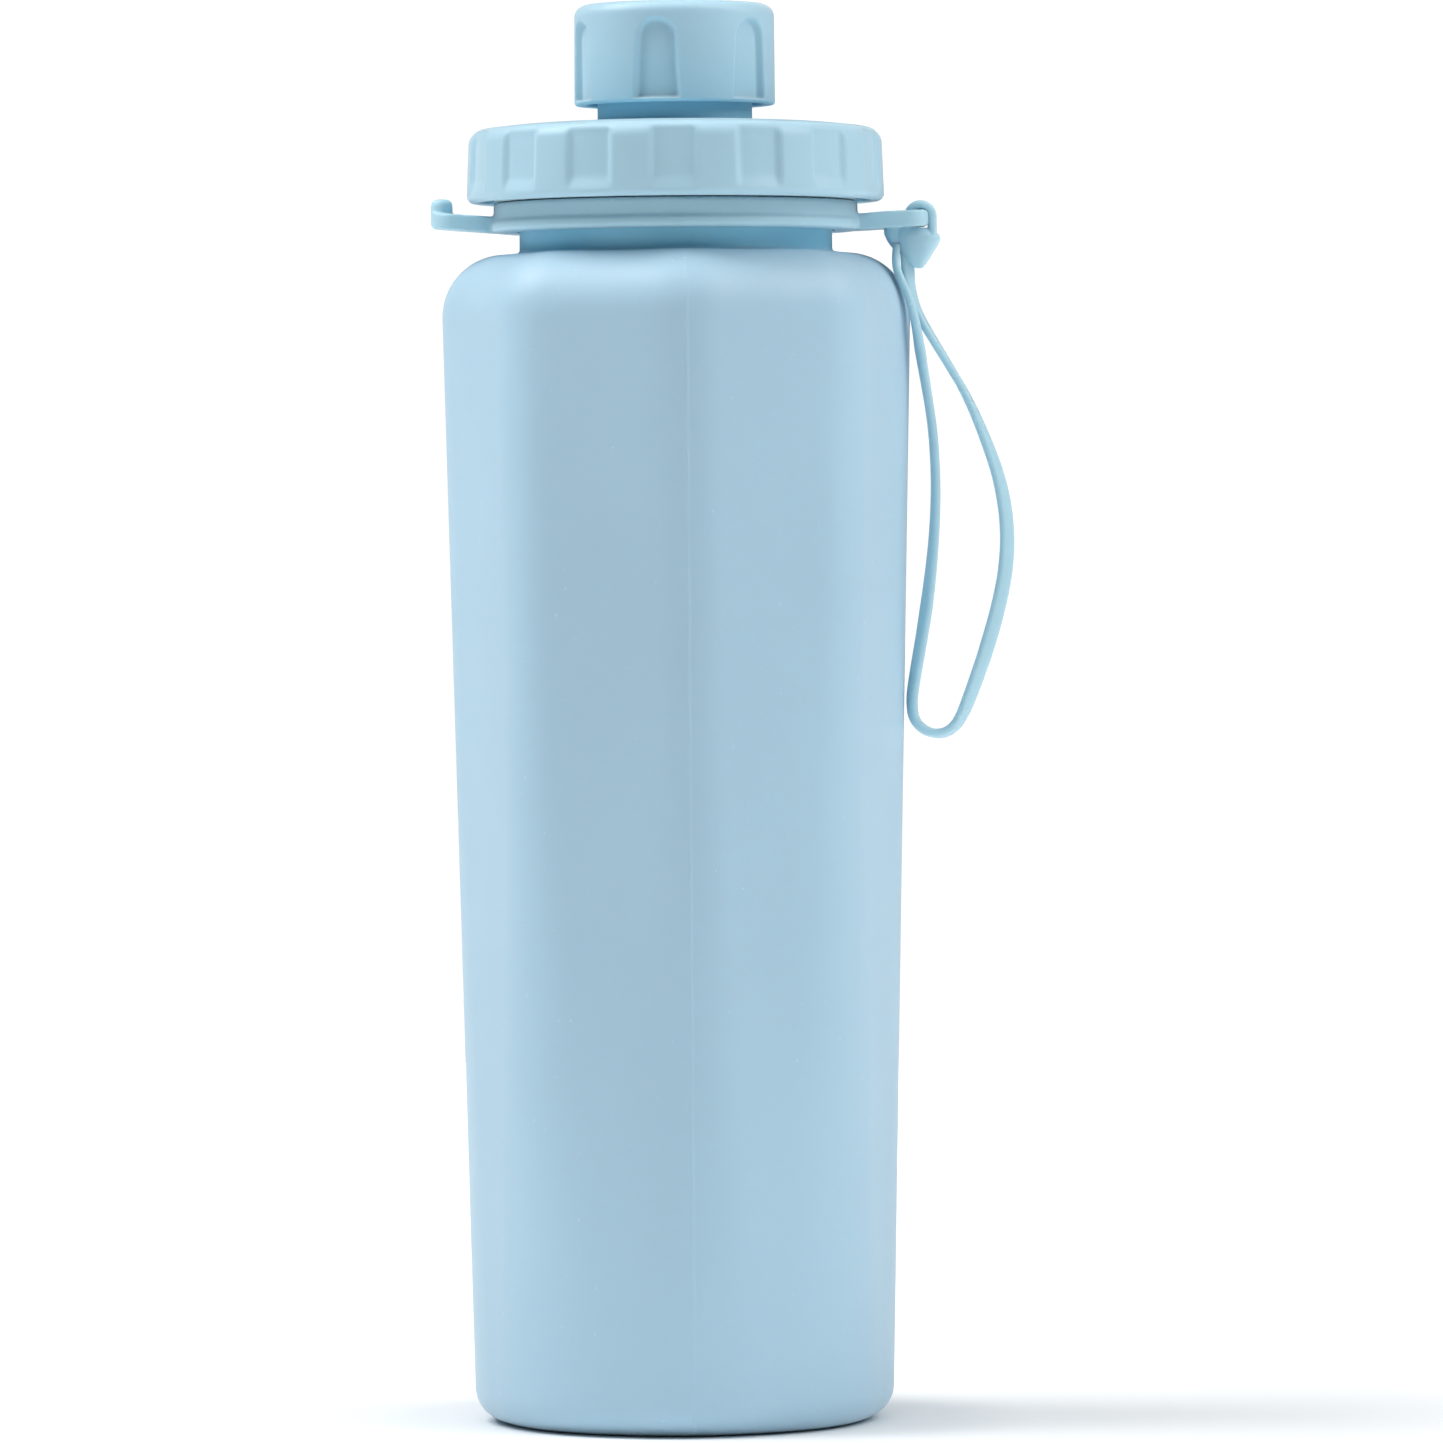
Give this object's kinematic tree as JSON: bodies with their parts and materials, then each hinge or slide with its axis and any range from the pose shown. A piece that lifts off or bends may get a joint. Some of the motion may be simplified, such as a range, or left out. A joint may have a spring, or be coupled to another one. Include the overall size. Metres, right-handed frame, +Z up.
{
  "type": "folding water bottle",
  "caption": "Soft silicone water bottle with an eight-sided tapering body, a ribbed screw lid, a small spout cap and a neck strap with a hook and a lanyard loop.",
  "frame": {"origin": "centre of the flat underside of the base, on the bottle's axis", "axes": "+Z up through the neck, -Y the front, +X towards the strap's eye and its lanyard"},
  "size_m": [0.0997, 0.0794, 0.24],
  "materials": {
    "silicone_body": "matte translucent silicone",
    "hard_plastic": "satin polypropylene",
    "lid_plastic": "fine matte polypropylene",
    "strap_silicone": "matte silicone",
    "seal_rubber": "soft translucent silicone"
  },
  "bodies": {
    "bottle": {"silicone_body": "silicone_body", "neck_collar": "hard_plastic"},
    "lid_seal": {"lid_gasket": "seal_rubber"},
    "lid": {"screw_lid": "lid_plastic", "drinking_spout": "lid_plastic"},
    "cap_disc": {"cap_seal": "seal_rubber"},
    "cap": {"spout_cap": "lid_plastic"},
    "strap": {"strap_ring": "strap_silicone"},
    "lanyard": {"lanyard_loop": "strap_silicone", "lanyard_hitch": "strap_silicone"}
  },
  "joints": [
    {"name": "lid_lift", "type": "slide", "parent": "bottle", "child": "lid_seal", "axis": [0, 0, 1], "range_m": [0, 0.0121]},
    {"name": "lid_twist", "type": "hinge", "parent": "lid_seal", "child": "lid", "pos_m": [0, 0, 0.2125], "axis": [0, 0, 1], "range_deg": [0, 1080]},
    {"name": "cap_lift", "type": "slide", "parent": "lid", "child": "cap_disc", "axis": [0, 0, 1], "range_m": [0, 0.0141]},
    {"name": "cap_twist", "type": "hinge", "parent": "cap_disc", "child": "cap", "pos_m": [0, 0, 0.2315], "axis": [0, 0, 1], "range_deg": [0, 1260]},
    {"name": "strap_swivel", "type": "hinge", "parent": "bottle", "child": "strap", "pos_m": [0, 0, 0.2025], "axis": [0, 0, 1], "continuous": true},
    {"name": "lanyard_swing", "type": "hinge", "parent": "strap", "child": "lanyard", "pos_m": [0.04145, 0, 0.2034], "axis": [0, -1, 0], "range_deg": [0, 165]}
  ],
  "couplings": [
    {"joint": "lid_lift", "follows": "lid_twist", "m_per_rad": 0.00063662},
    {"joint": "cap_lift", "follows": "cap_twist", "m_per_rad": 0.00063662}
  ]
}
